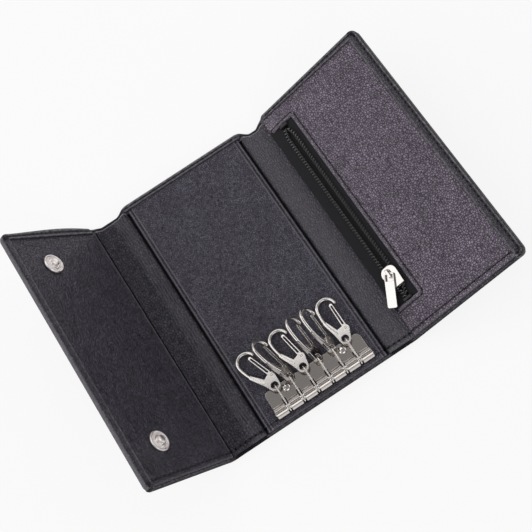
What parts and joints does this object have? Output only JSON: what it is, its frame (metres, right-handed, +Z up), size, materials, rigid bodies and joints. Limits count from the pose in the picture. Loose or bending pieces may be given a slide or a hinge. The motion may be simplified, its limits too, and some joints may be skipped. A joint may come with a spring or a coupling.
{
  "type": "key case",
  "caption": "Trifold leather key case: key plate with spring-gate hooks, zip coin pocket, card slot, note compartment and snap-closed flap.",
  "frame": {"origin": "centre of the middle panel's outer face, which lies on the table", "axes": "+X across the folds towards the zip panel, +Y along the folds away from the key plate, +Z up"},
  "size_m": [0.1719, 0.12, 0.0453],
  "materials": {
    "leather": "black fine-grain leather, satin",
    "lining": "black lining cloth",
    "zip_tape": "black woven tape",
    "zip_teeth": "black nylon coil",
    "nickel": "bright nickel plate",
    "steel": "plain steel"
  },
  "bodies": {
    "middle": {"outer_cover_middle": "leather", "inner_wall_middle": "leather", "key_panel": "leather", "key_plate": "nickel", "key_plate_rod": "nickel", "key_plate_backing": "steel", "key_plate_rivets": "nickel"},
    "left_spine": {"outer_cover_left_spine": "leather", "inner_wall_left_spine": "leather"},
    "left_flap": {"outer_cover_left_flap": "leather", "left_flap_facing": "leather", "snap_studs": "nickel", "snap_caps": "nickel"},
    "right_spine": {"outer_cover_right_spine": "leather", "inner_wall_right_spine": "leather"},
    "right_panel": {"outer_cover_right_panel": "leather", "inner_wall_right_panel": "leather", "coin_pocket_back": "lining", "coin_pocket_front": "leather", "zip_tape_left": "zip_tape", "zip_tape_right": "zip_tape", "zip_teeth_left": "zip_teeth", "zip_teeth_right": "zip_teeth", "zip_end_stops": "zip_teeth", "snap_sockets": "nickel", "snap_socket_backs": "steel"},
    "slider": {"zip_slider": "nickel"},
    "pull": {"zip_pull": "nickel"},
    "link_1": {"hook_link_1": "nickel"},
    "hook_1": {"key_hook_1": "nickel", "gate_pin_1": "nickel"},
    "gate_1": {"hook_gate_1": "nickel"},
    "link_2": {"hook_link_2": "nickel"},
    "hook_2": {"key_hook_2": "nickel", "gate_pin_2": "nickel"},
    "gate_2": {"hook_gate_2": "nickel"},
    "link_3": {"hook_link_3": "nickel"},
    "hook_3": {"key_hook_3": "nickel", "gate_pin_3": "nickel"},
    "gate_3": {"hook_gate_3": "nickel"},
    "link_4": {"hook_link_4": "nickel"},
    "hook_4": {"key_hook_4": "nickel", "gate_pin_4": "nickel"},
    "gate_4": {"hook_gate_4": "nickel"},
    "link_5": {"hook_link_5": "nickel"},
    "hook_5": {"key_hook_5": "nickel", "gate_pin_5": "nickel"},
    "gate_5": {"hook_gate_5": "nickel"},
    "link_6": {"hook_link_6": "nickel"},
    "hook_6": {"key_hook_6": "nickel", "gate_pin_6": "nickel"},
    "gate_6": {"hook_gate_6": "nickel"}
  },
  "joints": [
    {"name": "left_spine_fold", "type": "hinge", "parent": "middle", "child": "left_spine", "pos_m": [-0.0293, 0, 0.0028], "axis": [0, 1, 0], "range_deg": [0, 90]},
    {"name": "left_flap_fold", "type": "hinge", "parent": "left_spine", "child": "left_flap", "pos_m": [-0.046, 0, 0.0028], "axis": [0, 1, 0], "range_deg": [-54, 34]},
    {"name": "right_spine_fold", "type": "hinge", "parent": "middle", "child": "right_spine", "pos_m": [0.0293, 0, 0.0028], "axis": [0, -1, 0], "range_deg": [0, 90]},
    {"name": "right_panel_fold", "type": "hinge", "parent": "right_spine", "child": "right_panel", "pos_m": [0.0415, 0, 0.0028], "axis": [0, -1, 0], "range_deg": [-23.5, 64.5]},
    {"name": "zip_slide", "type": "slide", "parent": "right_panel", "child": "slider", "axis": [0, 1, 0], "range_m": [0, 0.07075]},
    {"name": "pull_swing", "type": "hinge", "parent": "slider", "child": "pull", "pos_m": [0.04741, -0.0331, 0.01132], "axis": [-0.7817, 0.5, -0.3728], "range_deg": [0, 165]},
    {"name": "link_swing_1", "type": "hinge", "parent": "middle", "child": "link_1", "pos_m": [-0.01622, -0.0548, 0.0068], "axis": [1, 0, 0], "range_deg": [0, 170]},
    {"name": "hook_swing_1", "type": "hinge", "parent": "link_1", "child": "hook_1", "pos_m": [-0.01622, -0.04669, 0.00801], "axis": [1, 0, 0], "range_deg": [0, 60]},
    {"name": "gate_open_1", "type": "hinge", "parent": "hook_1", "child": "gate_1", "pos_m": [-0.01507, -0.04041, 0.0072], "axis": [0, 0.1279, 0.9918], "range_deg": [0, 16], "stiffness_Nm_per_rad": 0.003, "springref_deg": -8.59},
    {"name": "link_swing_2", "type": "hinge", "parent": "middle", "child": "link_2", "pos_m": [-0.00937, -0.0548, 0.0068], "axis": [1, 0, 0], "range_deg": [0, 170]},
    {"name": "hook_swing_2", "type": "hinge", "parent": "link_2", "child": "hook_2", "pos_m": [-0.00937, -0.04669, 0.00801], "axis": [1, 0, 0], "range_deg": [0, 60]},
    {"name": "gate_open_2", "type": "hinge", "parent": "hook_2", "child": "gate_2", "pos_m": [-0.00864, -0.04055, 0.00633], "axis": [0.7376, 0.1197, 0.6645], "range_deg": [0, 16], "stiffness_Nm_per_rad": 0.003, "springref_deg": -8.59},
    {"name": "link_swing_3", "type": "hinge", "parent": "middle", "child": "link_3", "pos_m": [-0.00252, -0.0548, 0.0068], "axis": [1, 0, 0], "range_deg": [0, 170]},
    {"name": "hook_swing_3", "type": "hinge", "parent": "link_3", "child": "hook_3", "pos_m": [-0.00252, -0.04669, 0.00801], "axis": [1, 0, 0], "range_deg": [0, 60]},
    {"name": "gate_open_3", "type": "hinge", "parent": "hook_3", "child": "gate_3", "pos_m": [-0.00061, -0.04067, 0.00724], "axis": [0, 0.1279, 0.9918], "range_deg": [0, 16], "stiffness_Nm_per_rad": 0.003, "springref_deg": -8.59},
    {"name": "link_swing_4", "type": "hinge", "parent": "middle", "child": "link_4", "pos_m": [0.00432, -0.0548, 0.0068], "axis": [1, 0, 0], "range_deg": [0, 170]},
    {"name": "hook_swing_4", "type": "hinge", "parent": "link_4", "child": "hook_4", "pos_m": [0.00432, -0.04669, 0.00801], "axis": [1, 0, 0], "range_deg": [0, 60]},
    {"name": "gate_open_4", "type": "hinge", "parent": "hook_4", "child": "gate_4", "pos_m": [0.00573, -0.04073, 0.0063], "axis": [0.7654, -0.004, 0.6436], "range_deg": [0, 16], "stiffness_Nm_per_rad": 0.003, "springref_deg": -8.59},
    {"name": "link_swing_5", "type": "hinge", "parent": "middle", "child": "link_5", "pos_m": [0.01117, -0.0548, 0.0068], "axis": [1, 0, 0], "range_deg": [0, 170]},
    {"name": "hook_swing_5", "type": "hinge", "parent": "link_5", "child": "hook_5", "pos_m": [0.01117, -0.04669, 0.00801], "axis": [1, 0, 0], "range_deg": [0, 60]},
    {"name": "gate_open_5", "type": "hinge", "parent": "hook_5", "child": "gate_5", "pos_m": [0.01258, -0.04073, 0.0063], "axis": [0.7654, -0.004, 0.6436], "range_deg": [0, 16], "stiffness_Nm_per_rad": 0.003, "springref_deg": -8.59},
    {"name": "link_swing_6", "type": "hinge", "parent": "middle", "child": "link_6", "pos_m": [0.01802, -0.0548, 0.0068], "axis": [1, 0, 0], "range_deg": [0, 170]},
    {"name": "hook_swing_6", "type": "hinge", "parent": "link_6", "child": "hook_6", "pos_m": [0.01802, -0.04669, 0.00801], "axis": [1, 0, 0], "range_deg": [0, 60]},
    {"name": "gate_open_6", "type": "hinge", "parent": "hook_6", "child": "gate_6", "pos_m": [0.02068, -0.04108, 0.00729], "axis": [0, 0.1279, 0.9918], "range_deg": [0, 16], "stiffness_Nm_per_rad": 0.003, "springref_deg": -8.59}
  ]
}
